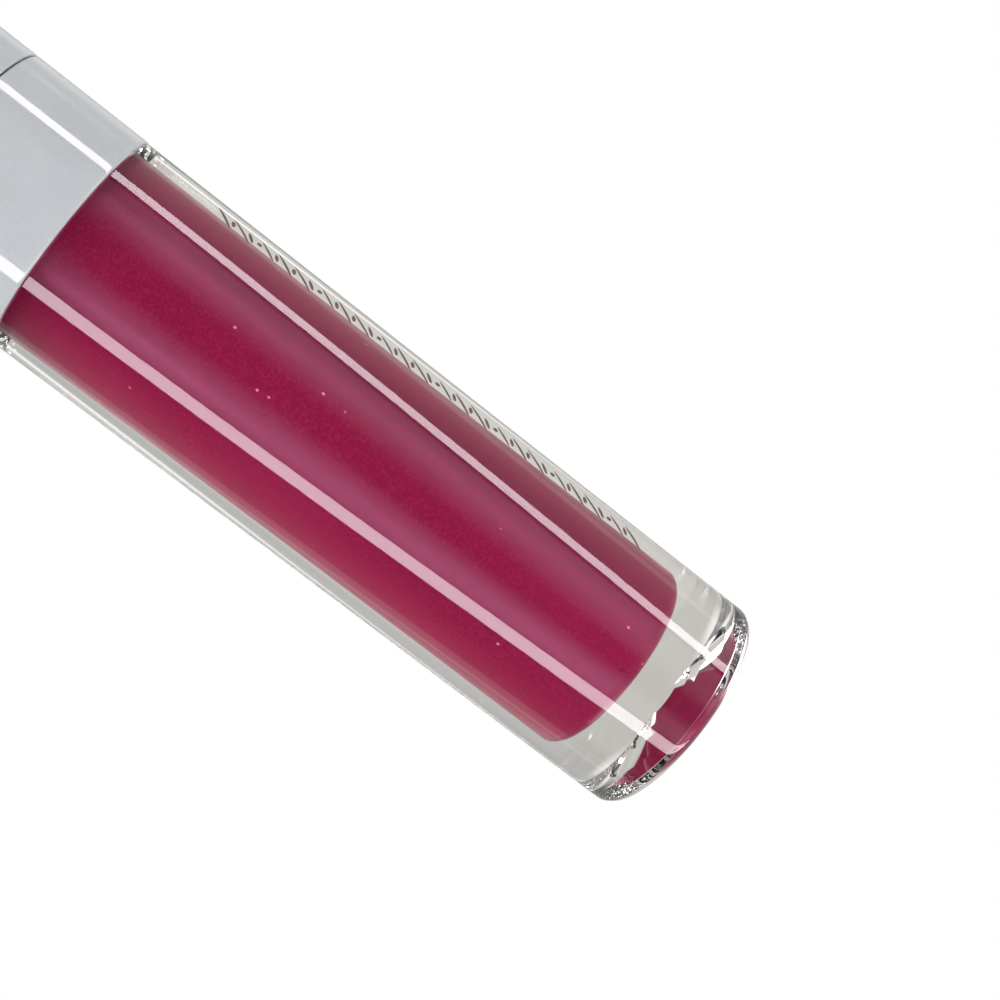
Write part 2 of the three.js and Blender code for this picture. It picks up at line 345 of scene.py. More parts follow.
class NodeKit:
    """Short calls for the nodes of one material or world."""

    def __init__(self, tree: bpy.types.NodeTree) -> None:
        """Start on an emptied tree.

        Args:
            tree: The node tree to build in.
        """
        self.tree = tree
        tree.nodes.clear()

    def add(self, kind: str, **settings: object) -> bpy.types.Node:
        """Add a node.

        Args:
            kind: The node's type name.
            **settings: Its properties, by name.

        Returns:
            The new node.
        """
        node = self.tree.nodes.new(kind)
        for name, value in settings.items():
            setattr(node, name, value)
        return node

    def put(self, node: bpy.types.Node, socket: str | int, value: object) -> None:
        """Set an input's value, or link it to another node's output.

        Args:
            node: The node with the input.
            socket: The input's name or number.
            value: A plain value, or the output socket to link.
        """
        target = node.inputs[socket]
        if isinstance(value, Socket):
            self.tree.links.new(value, target)
        else:
            target.default_value = value

    def out(self, kind: str, *values: object, **settings: object) -> Socket:
        """Add a node and fill its first inputs.

        Args:
            kind: The node's type name.
            *values: Its first inputs in order, as plain values or sockets.
            **settings: Its properties, by name.

        Returns:
            The node's first output.
        """
        node = self.add(kind, **settings)
        for i, value in enumerate(values):
            self.put(node, i, value)
        return node.outputs[0]

    def maths(self, operation: str, *values: object) -> Socket:
        """Add a Math node.

        Args:
            operation: The node's operation.
            *values: Its inputs in order, as numbers or sockets.

        Returns:
            The result's socket.
        """
        return self.out("ShaderNodeMath", *values, operation=operation)

    def fade(
        self, value: object, start: float, end: float, low: float = 0.0, high: float = 1.0
    ) -> Socket:
        """Map a value smoothly from one range to another.

        Args:
            value: The value or socket read.
            start: The value that gives low.
            end: The value that gives high.
            low: The result at start and below.
            high: The result at end and above.

        Returns:
            The result's socket.
        """
        node = self.add("ShaderNodeMapRange", interpolation_type="SMOOTHSTEP")
        names = ("Value", "From Min", "From Max", "To Min", "To Max")
        for name, given in zip(names, (value, start, end, low, high)):
            self.put(node, name, given)
        return node.outputs["Result"]

    def spread(self, pattern: Socket, low: float = 0.0, high: float = 1.0) -> Socket:
        """Map the range that most of a noise pattern lies in to another.

        Args:
            pattern: The noise pattern.
            low: The result at the range's lower end and below.
            high: The result at its upper end and above.

        Returns:
            The result's socket.
        """
        return self.fade(pattern, NOISE_LOW, NOISE_HIGH, low, high)

    def noise(
        self, place: Socket, scale: float, detail: float = 2.0, rough: float = 0.5
    ) -> Socket:
        """Add a noise pattern.

        Args:
            place: The coordinates it reads.
            scale: Its scale per metre.
            detail: How many finer layers it has.
            rough: How strong the finer layers are.

        Returns:
            The pattern's value socket.
        """
        node = self.add("ShaderNodeTexNoise")
        self.put(node, "Vector", place)
        self.put(node, "Scale", scale)
        self.put(node, "Detail", detail)
        self.put(node, "Roughness", rough)
        return node.outputs["Fac"]

    def mix_colour(self, share: object, first: object, second: object) -> Socket:
        """Mix two colours.

        Args:
            share: How much of the second colour shows.
            first: The first colour, or a socket.
            second: The second colour, or a socket.

        Returns:
            The mixed colour's socket.
        """
        node = self.add("ShaderNodeMix", data_type="RGBA")
        self.put(node, 0, share)
        self.put(node, 6, first)
        self.put(node, 7, second)
        return node.outputs[2]

    def object_place(self, stretch: Sequence[float] = (1, 1, 1)) -> Socket:
        """Read the piece's own coordinates.

        Args:
            stretch: A scale along each axis.

        Returns:
            The coordinates' socket.
        """
        source = self.add("ShaderNodeTexCoord").outputs["Object"]
        if tuple(stretch) == (1, 1, 1):
            return source
        mapping = self.add("ShaderNodeMapping")
        self.put(mapping, "Vector", source)
        self.put(mapping, "Scale", stretch)
        return mapping.outputs["Vector"]

    def bump(self, height: Socket, depth: float, strength: float = 1.0) -> Socket:
        """Turn a height pattern into a bumped normal.

        Args:
            height: The pattern, from 0 to 1.
            depth: The height of 1, in metres.
            strength: How much of the bump shows.

        Returns:
            The normal's socket.
        """
        node = self.add("ShaderNodeBump")
        self.put(node, "Height", height)
        self.put(node, "Distance", depth)
        self.put(node, "Strength", strength)
        return node.outputs["Normal"]


def rgba(red: float, green: float, blue: float) -> tuple[float, float, float, float]:
    """Give an opaque colour from its three linear parts."""
    return (red, green, blue, 1.0)


class Finish:
    """A surface finish: one material, made when it is first asked for."""

    name: str

    def __init__(self) -> None:
        """Start with no material made yet."""
        self.made: bpy.types.Material | None = None

    def material(self) -> bpy.types.Material:
        """Give the finish's material.

        Returns:
            The one material that all pieces of this finish share.
        """
        if self.made is None:
            self.made = bpy.data.materials.new(self.name)
            self.made.use_nodes = True
            kit = NodeKit(self.made.node_tree)
            output = kit.add("ShaderNodeOutputMaterial")
            kit.put(output, "Surface", self.shader(kit))
        return self.made

    def shader(self, kit: NodeKit) -> Socket:
        """Build the finish's shader.

        Args:
            kit: The nodes of its material.

        Returns:
            The shader's socket.
        """
        raise NotImplementedError

    @staticmethod
    def principled(kit: NodeKit, **inputs: object) -> Socket:
        """Add a Principled shader.

        Args:
            kit: The nodes to add it to.
            **inputs: Its inputs, with underscores for spaces in their names.

        Returns:
            The shader's socket.
        """
        node = kit.add("ShaderNodeBsdfPrincipled")
        for name, value in inputs.items():
            kit.put(node, name.replace("_", " "), value)
        return node.outputs[0]


class ClearPlastic(Finish):
    """Polished clear plastic with a faint moulded waviness."""

    name = "clear_plastic"
    index = 1.49
    wave_scale, wave_depth = 260, 0.003 * MM
    handling_scale, haze = 420, 0.008

    def shader(self, kit: NodeKit) -> Socket:
        """Build the clear plastic's shader, which lets lamps light what it holds.

        Args:
            kit: The nodes of its material.

        Returns:
            The shader's socket.
        """
        place = kit.object_place()
        waviness = kit.noise(place, self.wave_scale, 1)
        handling = kit.noise(place, self.handling_scale, 2)
        body = self.principled(
            kit,
            Base_Color=rgba(0.985, 0.982, 0.97),
            Roughness=kit.fade(handling, 0.45, 0.75, 0.0, self.haze),
            IOR=self.index,
            Transmission_Weight=1.0,
            Normal=kit.bump(waviness, self.wave_depth),
        )
        passed = kit.out("ShaderNodeBsdfTransparent", rgba(0.96, 0.955, 0.94))
        lamp = kit.add("ShaderNodeLightPath").outputs["Is Shadow Ray"]
        return kit.out("ShaderNodeMixShader", lamp, body, passed)


class GlossFilling(Finish):
    """Thick raspberry gloss, wetted to the wall, with pigment specks and slow streaks."""

    name = "gloss_fill"
    streak_scale, streak_stretch = 160, (1, 1, 0.35)
    mottle_scale = 5200
    dark_scale, dark_size = 900, 0.13
    pale_scale, pale_stretch, pale_size = 700, (1.3, 1.1, 0.9), 0.10
    rarity = 0.8

    def shader(self, kit: NodeKit) -> Socket:
        """Build the filling's shader.

        Args:
            kit: The nodes of its material.

        Returns:
            The shader's socket.
        """
        place = kit.object_place()
        streaks = kit.noise(kit.object_place(self.streak_stretch), self.streak_scale, 3)
        mottle = kit.noise(place, self.mottle_scale, 2)
        base = kit.mix_colour(
            kit.fade(streaks, 0.35, 0.7), rgba(0.144, 0.0040, 0.0255), rgba(0.16, 0.0058, 0.0315)
        )
        mottled = kit.fade(mottle, 0.4, 0.75, 0, 0.75)
        lively = kit.mix_colour(mottled, base, rgba(0.195, 0.0125, 0.046))
        dark = self.specks(kit, place, self.dark_scale, self.dark_size)
        pale_place = kit.object_place(self.pale_stretch)
        pale = self.specks(kit, pale_place, self.pale_scale, self.pale_size)
        dotted = kit.mix_colour(dark, lively, rgba(0.09, 0.004, 0.018))
        colour = kit.mix_colour(pale, dotted, rgba(0.55, 0.16, 0.25))
        return self.principled(
            kit,
            Base_Color=colour,
            Roughness=kit.spread(streaks, 0.30, 0.38),
            Specular_IOR_Level=0.36,
            Specular_Tint=rgba(0.75, 0.27, 0.62),
        )

    def specks(self, kit: NodeKit, place: Socket, scale: float, size: float) -> Socket:
        """Scatter sparse round specks.

        Args:
            kit: The nodes to add them to.
            place: The coordinates that the scatter reads.
            scale: How many cells a metre has.
            size: A speck's radius as a share of a cell.

        Returns:
            A socket that is 1 on a speck and 0 elsewhere.
        """
        cells = kit.add("ShaderNodeTexVoronoi")
        kit.put(cells, "Vector", place)
        kit.put(cells, "Scale", scale)
        near = kit.fade(cells.outputs["Distance"], size, size * 0.5)
        chance = kit.add("ShaderNodeSeparateColor")
        kit.put(chance, 0, cells.outputs["Color"])
        rare = kit.maths("GREATER_THAN", chance.outputs[0], self.rarity)
        return kit.maths("MULTIPLY", near, rare)


class PearlPaint(Finish):
    """Satin pearl silver paint with a fine grain under a thin lacquer."""

    name = "pearl_silver"
    flake_scale, flake_depth = 9000, 0.004 * MM
    cloud_scale = 220

    def shader(self, kit: NodeKit) -> Socket:
        """Build the paint's shader.

        Args:
            kit: The nodes of its material.

        Returns:
            The shader's socket.
        """
        place = kit.object_place()
        flake = kit.noise(place, self.flake_scale, 2, 0.7)
        cloud = kit.noise(place, self.cloud_scale, 2)
        tone = kit.mix_colour(
            kit.spread(cloud), rgba(0.318, 0.348, 0.352), rgba(0.34, 0.37, 0.374)
        )
        glints = kit.fade(flake, 0.45, 0.75, 0, 0.35)
        colour = kit.mix_colour(glints, tone, rgba(0.44, 0.468, 0.48))
        return self.principled(
            kit,
            Base_Color=colour,
            Roughness=kit.spread(flake, 0.45, 0.6),
            Specular_IOR_Level=0.3,
            Coat_Weight=1.0,
            Coat_Roughness=0.01,
            Normal=kit.bump(flake, self.flake_depth, 0.5),
        )


@dataclass
class MouldedPlastic(Finish):
    """Opaque or milky moulded plastic with a faint flow pattern and a fine texture."""

    name: str
    colour: tuple[float, float, float]
    deep: tuple[float, float, float]
    roughness: tuple[float, float]
    grain: float
    depth: float
    subsurface: float = 0.0
    flow_scale: float = 300
    flow_stretch: tuple[float, float, float] = (1, 1, 0.3)
    glow_depth: float = 0.8 * MM

    def __post_init__(self) -> None:
        """Start with no material made yet."""
        super().__init__()

    def shader(self, kit: NodeKit) -> Socket:
        """Build the plastic's shader.

        Args:
            kit: The nodes of its material.

        Returns:
            The shader's socket.
        """
        flow = kit.noise(kit.object_place(self.flow_stretch), self.flow_scale, 3)
        grain = kit.noise(kit.object_place(), self.grain, 2)
        colour = kit.mix_colour(kit.spread(flow), rgba(*self.deep), rgba(*self.colour))
        return self.principled(
            kit,
            Base_Color=colour,
            Roughness=kit.spread(grain, *self.roughness),
            Subsurface_Weight=self.subsurface,
            Subsurface_Radius=(1.0, 0.9, 0.8),
            Subsurface_Scale=self.glow_depth,
            Normal=kit.bump(grain, self.depth, 0.6),
        )


class TurnedSteel(Finish):
    """Zinc-plated steel with the rings that turning leaves."""

    name = "weight_steel"
    ring_scale, ring_stretch, ring_depth = 9000, (0.02, 0.02, 1), 0.01 * MM
    spangle_scale = 700

    def shader(self, kit: NodeKit) -> Socket:
        """Build the steel's shader.

        Args:
            kit: The nodes of its material.

        Returns:
            The shader's socket.
        """
        rings = kit.noise(kit.object_place(self.ring_stretch), self.ring_scale, 2)
        spangle = kit.noise(kit.object_place(), self.spangle_scale, 3)
        colour = kit.mix_colour(
            kit.spread(spangle), rgba(0.40, 0.40, 0.42), rgba(0.55, 0.55, 0.58)
        )
        return self.principled(
            kit,
            Base_Color=colour,
            Metallic=1.0,
            Roughness=kit.spread(rings, 0.25, 0.45),
            Normal=kit.bump(rings, self.ring_depth, 0.6),
        )


class Flock(Finish):
    """Short flock fibres, tinted by the gloss that they carry."""

    name = "flock"
    fibre_scale, fibre_depth = 8000, 0.06 * MM
    load_scale, load_stretch = 900, (1, 1, 0.5)

    def shader(self, kit: NodeKit) -> Socket:
        """Build the flock's shader.

        Args:
            kit: The nodes of its material.

        Returns:
            The shader's socket.
        """
        fibre = kit.noise(kit.object_place(), self.fibre_scale, 3, 0.7)
        load = kit.noise(kit.object_place(self.load_stretch), self.load_scale, 3)
        thin = kit.mix_colour(fibre, rgba(0.42, 0.11, 0.19), rgba(0.60, 0.25, 0.34))
        wet = kit.mix_colour(fibre, rgba(0.22, 0.012, 0.05), rgba(0.33, 0.03, 0.09))
        colour = kit.mix_colour(kit.fade(load, 0.25, 0.6), thin, wet)
        return self.principled(
            kit,
            Base_Color=colour,
            Roughness=kit.spread(load, 0.5, 0.95),
            Sheen_Weight=0.4,
            Sheen_Roughness=0.4,
            Normal=kit.bump(fibre, self.fibre_depth),
        )


class PrintedInk(Finish):
    """Dark brown ink printed on the flank of the bottle."""

    name = "print_ink"
    cover_scale = 6000

    def shader(self, kit: NodeKit) -> Socket:
        """Build the ink's shader.

        Args:
            kit: The nodes of its material.

        Returns:
            The shader's socket.
        """
        cover = kit.noise(kit.object_place(), self.cover_scale, 2)
        colour = kit.mix_colour(cover, rgba(0.06, 0.036, 0.026), rgba(0.12, 0.075, 0.05))
        return self.principled(kit, Base_Color=colour, Roughness=kit.spread(cover, 0.4, 0.6))


CLEAR = ClearPlastic()
FILLING = GlossFilling()
PEARL = PearlPaint()
NATURAL = MouldedPlastic(
    "natural_plastic", (0.80, 0.80, 0.76), (0.70, 0.70, 0.66), (0.35, 0.5), 3000, 0.01 * MM, 0.3
)
WHITE = MouldedPlastic(
    "white_plastic", (0.85, 0.85, 0.83), (0.78, 0.78, 0.76), (0.35, 0.45), 4000, 0.01 * MM, 0.1
)
FOAM = MouldedPlastic(
    "liner_foam", (0.72, 0.72, 0.68), (0.60, 0.60, 0.56), (0.75, 0.9), 2500, 0.05 * MM
)
STEM = MouldedPlastic(
    "stem_plastic", (0.74, 0.70, 0.69), (0.64, 0.58, 0.58), (0.18, 0.3), 2600, 0.008 * MM, 0.3
)
STEEL = TurnedSteel()
FLOCK = Flock()
INK = PrintedInk()


# Sub-assemblies


def dress(obj: Piece, finish: Finish, body: str, slot: str | None, *nodes: str) -> Piece:
    """Give a new piece its finish and its place in the frame.

    Args:
        obj: The piece.
        finish: Its surface finish.
        body: The body that it rides on.
        slot: The name of its material slot in the record, if there is one; not used.
        *nodes: The plain nodes that it stands for.

    Returns:
        The same piece.
    """
    obj.data.materials.clear()
    obj.data.materials.append(finish.material())
    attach(obj, body)
    if nodes:
        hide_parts(*nodes)
    LOG.info("%s rides on %s, %d faces", obj.name, body, len(obj.data.polygons))
    return obj


@dataclass(frozen=True)
class Terrace:
    """One ring of the hollow under the base: it slopes down outwards to a narrow land."""

    outer: float
    top: float
    slope: float


@dataclass
class Container:
    """The bottle with its filling, wiper, collar and printed ornament."""

    body: str = "container"
    foot_fillet: float = 1.0 * MM
    foot_inner: float = 7.0 * MM
    terraces: tuple[Terrace, ...] = (
        Terrace(1.95 * MM, 2.12 * MM, 0.66),
        Terrace(2.95 * MM, 1.88 * MM, 0.50),
        Terrace(4.7 * MM, 1.62 * MM, 0.45),
        Terrace(6.3 * MM, 1.12 * MM, 0.40),
    )
    land_width: float = 0.16 * MM
    land_step: float = 0.02 * MM
    gate: float = 1.0 * MM
    gate_rise: float = 0.03 * MM
    gate_bevel: float = 0.05 * MM
    foot_bevel: tuple[float, float] = (0.15 * MM, 0.2 * MM)
    shoulder_edge: float = 0.15 * MM
    floor: float = 5.7 * MM
    corner: float = 1.2 * MM
    floor_radius: float = 5.2 * MM
    neck_bore: float = 5.4 * MM
    land: float = 7.9 * MM
    land_drop: float = 1.24 * MM
    neck: float = 6.4 * MM
    wetting: float = 0.03 * MM
    fill_inset: float = 0.06 * MM
    channel: float = 2.7 * MM
    channel_floor: float = 7.6 * MM
    collar_bore: float = 8.0 * MM
    collar_lift: float = 0.02 * MM
    web_bore: float = 6.55 * MM
    web_gap: float = 0.1 * MM
    orifice: float = 2.2 * MM
    lip_radius: float = 3.0 * MM
    lip_height: float = 1.0 * MM
    lip_wall: float = 1.2 * MM
    wiper_tube: float = 5.3 * MM
    wiper_wall: float = 0.8 * MM
    wiper_cone: float = 70.0 * MM
    cone_wall: float = 0.4 * MM
    wiper_mouth: float = 0.3 * MM
    border_azimuth: float = math.radians(62.6)
    border_foot: float = 11.8 * MM
    border_top: float = 49.0 * MM
    border_marks: int = 50
    border_rhythm: tuple[tuple[float, float, float], ...] = (
        (1.7, 0.36, 0.9),
        (0.9, 0.32, 0.3),
        (1.5, 0.30, 0.9),
        (0.45, 0.42, 0.0),
        (1.1, 0.34, 0.5),
        (1.8, 0.34, 1.0),
        (0.8, 0.34, 0.2),
    )
    stroke_sides: int = 24
    stroke_inset: float = 0.12
    ink: float = 0.012 * MM
    ink_lift: float = 0.003 * MM
    thread: Thread = field(default_factory=Thread)

    def __post_init__(self) -> None:
        """Read the main radii and heights from the frame."""
        self.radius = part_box("bottle")[1].x
        self.neck_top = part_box("bottle")[1].z
        self.trim_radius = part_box("collar")[1].x
        self.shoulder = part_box("collar")[0].z
        self.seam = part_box("collar")[1].z
        self.land_top = self.seam - self.land_drop
        self.fill_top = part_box("gloss")[1].z

    def cavity(self, grow: float) -> Outline:
        """Work out the floor corner of the cavity from near the axis outwards.

        Args:
            grow: How far the outline stands outside the cavity's own wall.

        Returns:
            The outline's points.
        """
        middle = (self.floor_radius - self.corner, self.floor + self.corner)
        return [(FLAT_CAP, self.floor - grow), *arc(middle, self.corner + grow, -90, 0, 12)]

    def underside(self) -> Outline:
        """Work out the hollow under the base: a low cone in rings, round the gate mark.

        Returns:
            Its outline, from near the axis to the inside edge of the foot.
        """
        centre = self.terraces[0].top + self.gate_rise
        outline = [(FINE_CAP, centre), (self.gate - self.gate_bevel, centre)]
        inner = self.gate
        for terrace in self.terraces:
            land = terrace.outer - self.land_width
            low = terrace.top - (land - inner) * terrace.slope
            outline += [(inner, terrace.top), (land, low), (terrace.outer - self.land_step, low)]
            inner = terrace.outer
        across, up = self.foot_bevel
        return [*outline, (self.foot_inner - across, up), (self.foot_inner, 0.0)]

    def bottle(self) -> Piece:
        """Turn the bottle and grow its thread.

        Returns:
            The bottle.
        """
        fillet = (self.radius - self.foot_fillet, self.foot_fillet)
        outline = [
            *self.underside(),
            *arc(fillet, self.foot_fillet, -90, 0, 18),
            (self.radius, self.shoulder - self.shoulder_edge),
            (self.radius - self.shoulder_edge, self.shoulder),
            (self.land, self.shoulder),
            (self.land, self.land_top),
            (self.neck, self.land_top),
            (self.neck, self.neck_top - SOFT_EDGE),
            (self.neck - SOFT_EDGE, self.neck_top),
            (self.neck_bore, self.neck_top),
            *reversed(self.cavity(0)),
        ]
        piece = turn_piece("clear_bottle", outline, segments=320)
        self.thread.grow(piece, self.neck, 0)
        smooth(piece)
        return dress(piece, CLEAR, self.body, "clear_plastic", "bottle")

    def filling(self) -> Piece:
        """Turn the filling, which wets the wall of the cavity.

        Returns:
            The filling.
        """
        outline = [
            *self.cavity(self.wetting),
            (self.neck_bore - self.fill_inset + self.wetting, self.fill_top),
            (self.channel, self.fill_top),
            (self.channel, self.channel_floor),
            (FLAT_CAP, self.channel_floor),
        ]
        piece = turn_piece("gloss_filling", outline, segments=160)
        smooth(piece)
        return dress(piece, FILLING, self.body, "gloss_fill", "gloss")

    def collar(self) -> Piece:
        """Turn the collar.

        Returns:
            The collar.
        """
        web = self.land_top + self.web_gap
        foot = self.shoulder + self.collar_lift
        lower = (self.trim_radius - TRIM_EDGE, foot + TRIM_EDGE)
        upper = (self.trim_radius - TRIM_EDGE, self.seam - TRIM_EDGE)
        outline = [
            (self.collar_bore, foot),
            *arc(lower, TRIM_EDGE, -90, 0, 4),
            *arc(upper, TRIM_EDGE, 0, 90, 4),
            (self.web_bore, self.seam),
            (self.web_bore, web),
            (self.collar_bore, web),
        ]
        piece = turn_piece("collar_ring", outline, Ends.JOINED, 160)
        smooth(piece)
        return dress(piece, PEARL, self.body, "pearl_silver", "collar")

    def wiper(self) -> Piece:
        """Turn the wiper.

        Returns:
            The wiper.
        """
        low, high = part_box("wiper")
        tip, top, flange = low.z, high.z, high.x
        bore = self.wiper_tube - self.wiper_wall
        outline = [
            (self.orifice, tip),
            (self.lip_radius, tip),
            (self.lip_radius, tip + self.lip_height),
            (self.wiper_tube, self.wiper_cone),
            (self.wiper_tube, self.neck_top),
            (flange, self.neck_top),
            (flange, top - SOFT_EDGE),
            (flange - SOFT_EDGE, top),
            (bore + self.wiper_mouth, top),
            (bore, top - self.wiper_mouth),
            (bore, self.wiper_cone + self.cone_wall),
            (self.orifice, tip + self.lip_wall),
        ]
        piece = turn_piece("neck_wiper", outline, Ends.JOINED, 96)
        smooth(piece)
        return dress(piece, NATURAL, self.body, "natural_plastic", "wiper")

    def ornament(self) -> Piece:
        """Print a plain border of slanted strokes and dots up the bottle's flank.

        Returns:
            The printed marks as one thin piece.
        """
        span = self.border_top - self.border_foot
        marks = []
        for i in range(self.border_marks):
            height = self.border_foot + span * i / (self.border_marks - 1)
            long, high, lean = self.border_rhythm[i % len(self.border_rhythm)]
            marks.append(self.stroke(height, long * MM, high * MM, lean))
        choose(marks[0])
        for mark in marks:
            mark.select_set(True)
        bpy.ops.object.join()
        piece = bpy.context.object
        piece.name = piece.data.name = "printed_border"
        return dress(piece, INK, self.body, None)

    def stroke(self, height: float, reach: float, tall: float, lean: float) -> Piece:
        """Lay one printed stroke on the bottle's flank.

        Args:
            height: The height of its middle.
            reach: Its length round the bottle.
            tall: Its breadth up the bottle.
            lean: How far it rises for its length.

        Returns:
            The stroke.
        """
        deselect()
        bpy.ops.mesh.primitive_circle_add(vertices=self.stroke_sides, radius=0.5, fill_type="NGON")
        obj = bpy.context.object
        bpy.ops.object.mode_set(mode="EDIT")
        bpy.ops.mesh.select_all(action="SELECT")
        bpy.ops.mesh.inset(thickness=self.stroke_inset)
        bpy.ops.mesh.select_all(action="SELECT")
        bpy.ops.mesh.extrude_region_move(TRANSFORM_OT_translate={"value": (0, 0, 1)})
        leave_edit()
        for vert in obj.data.vertices:
            along, across, out = vert.co
            turn = self.border_azimuth + along * reach / self.radius
            away = self.radius + self.ink_lift + out * self.ink
            rise = height + across * tall + along * reach * lean
            vert.co = (away * math.sin(turn), -away * math.cos(turn), rise)
        return obj

    def build(self) -> list[Piece]:
        """Build and dress the whole container.

        Returns:
            Its pieces.
        """
        return [self.bottle(), self.filling(), self.collar(), self.wiper(), self.ornament()]


@dataclass
class Closure:
    """The cap with its insert, weight and liner."""

    body: str = "cap"
    wall: float = 0.93 * MM
    top_fillet: float = 0.8 * MM
    roof: float = 1.2 * MM
    upper_bore: float = 7.6 * MM
    upper_bevel: float = 0.5 * MM
    weight_gap: float = 0.15 * MM
    insert_radius: float = 8.05 * MM
    insert_bore: float = 7.25 * MM
    insert_mouth: float = 0.3 * MM
    insert_ceiling: float = 80.4 * MM
    insert_roof: float = 1.4 * MM
    socket: float = 2.15 * MM
    socket_outside: float = 3.6 * MM
    weight_bore: float = 4.2 * MM
    weight_chamfer: float = 0.4 * MM
    liner_bore: float = 1.85 * MM
    thread: Thread = field(default_factory=Thread)

    def shell(self) -> Piece:
        """Turn the cap's outer shell.

        Returns:
            The shell.
        """
        low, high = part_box("cap_shell")
        radius, bottom, top = high.x, low.z, high.z
        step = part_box("cap_weight")[1].z + self.weight_gap
        ceiling = top - self.roof
        bore = radius - self.wall
        lower = (radius - TRIM_EDGE, bottom + TRIM_EDGE)
        upper = (radius - self.top_fillet, top - self.top_fillet)
        outline = [
            (FLAT_CAP, ceiling),
            (self.upper_bore - self.upper_bevel, ceiling),
            (self.upper_bore, ceiling - self.upper_bevel),
            (self.upper_bore, step),
            (bore, step),
            (bore, bottom),
            *arc(lower, TRIM_EDGE, -90, 0, 4),
            *arc(upper, self.top_fillet, 0, 90, 10),
            (FLAT_CAP, top),
        ]
        piece = turn_piece("cap_outer_shell", outline, segments=160)
        smooth(piece)
        return dress(piece, PEARL, self.body, "pearl_silver", "cap_shell")

    def insert(self) -> Piece:
        """Turn the threaded insert with the wand's socket.

        Returns:
            The insert.
        """
        low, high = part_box("inner_cap")
        bottom, top = low.z, high.z
        roof_top = self.insert_ceiling + self.insert_roof
        outline = [
            (self.insert_bore + self.insert_mouth, bottom),
            (self.insert_radius, bottom),
            (self.insert_radius, roof_top),
            (self.socket_outside, roof_top),
            (self.socket_outside, top),
            (self.socket, top),
            (self.socket, self.insert_ceiling),
            (self.insert_bore, self.insert_ceiling),
            (self.insert_bore, bottom + self.insert_mouth),
        ]
        piece = turn_piece("cap_thread_insert", outline, Ends.JOINED, 128)
        self.thread.grow(piece, self.insert_bore, self.thread.cap_start)
        smooth(piece)
        return dress(piece, WHITE, self.body, "white_plastic", "inner_cap")

    def weight(self) -> Piece:
        """Turn the cap's steel weight.

        Returns:
            The weight.
        """
        piece = ring_piece("steel_weight", "cap_weight", self.weight_bore, self.weight_chamfer)
        return dress(piece, STEEL, "weight", "weight_steel", "cap_weight")

    def liner(self) -> Piece:
        """Turn the seal liner.

        Returns:
            The liner.
        """
        piece = ring_piece("foam_liner", "seal_liner", self.liner_bore, SOFT_EDGE)
        return dress(piece, FOAM, "liner", "liner_foam", "seal_liner")

    def build(self) -> list[Piece]:
        """Build and dress the cap.

        Returns:
            Its pieces.
        """
        return [self.shell(), self.insert(), self.weight(), self.liner()]


@dataclass
class Wand:
    """The stem with its doe-foot applicator."""

    body: str = "cap"
    radius: float = 1.6 * MM
    bore: float = 0.95 * MM
    bore_depth: float = 6.0 * MM
    foot_bevel: float = 0.2 * MM
    flange_gap: float = 0.1 * MM
    flange: float = 0.6 * MM
    head: float = 2.1 * MM
    head_bevel: tuple[float, float] = (0.4 * MM, 0.5 * MM)
    weld: float = 0.002 * MM

    def stem(self) -> Piece:
        """Turn the stem.

        Returns:
            The stem.
        """
        low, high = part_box("stem")
        bottom, top, rim = low.z, high.z, high.x
        flange_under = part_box("seal_liner")[1].z + self.flange_gap
        flange_top = flange_under + self.flange
        across, down = self.head_bevel
        outline = [
            (FINE_CAP, bottom + self.bore_depth),
            (self.bore, bottom + self.bore_depth),
            (self.bore, bottom),
            (self.radius - self.foot_bevel, bottom),
            (self.radius, bottom + self.foot_bevel),
            (self.radius, flange_under),
            (rim, flange_under),
            (rim, flange_top),
            (self.head, flange_top),
            (self.head, top - down),
            (self.head - across, top),
            (FINE_CAP, top),
        ]
        piece = turn_piece("wand_stem", outline, segments=64)
        smooth(piece)
        return dress(piece, STEM, self.body, "stem_plastic", "stem")

    def tip(self, name: str, finish: Finish, slot: str, node: str) -> Piece:
        """Round off the faceted shape of an applicator node.

        Args:
            name: The new piece's name.
            finish: Its finish.
            slot: Its material slot.
            node: The node that it stands for.

        Returns:
            The piece.
        """
        source = frame["nodes"][node]
        deselect()
        piece = source.copy()
        piece.data = source.data.copy()
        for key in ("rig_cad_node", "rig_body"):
            del piece[key]
        piece.parent = None
        piece.name = piece.data.name = name
        bpy.context.scene.collection.objects.link(piece)
        choose(piece)
        bpy.ops.object.mode_set(mode="EDIT")
        bpy.ops.mesh.select_all(action="SELECT")
        bpy.ops.mesh.remove_doubles(threshold=self.weld)
        leave_edit()
        smooth(piece, 35)
        return dress(piece, finish, self.body, slot, node)

    def build(self) -> list[Piece]:
        """Build and dress the wand.

        Returns:
            Its pieces.
        """
        return [
            self.stem(),
            self.tip("applicator_foot", STEM, "stem_plastic", "applicator_core"),
            self.tip("flocked_sleeve", FLOCK, "flock", "applicator_flock"),
        ]


# Studio


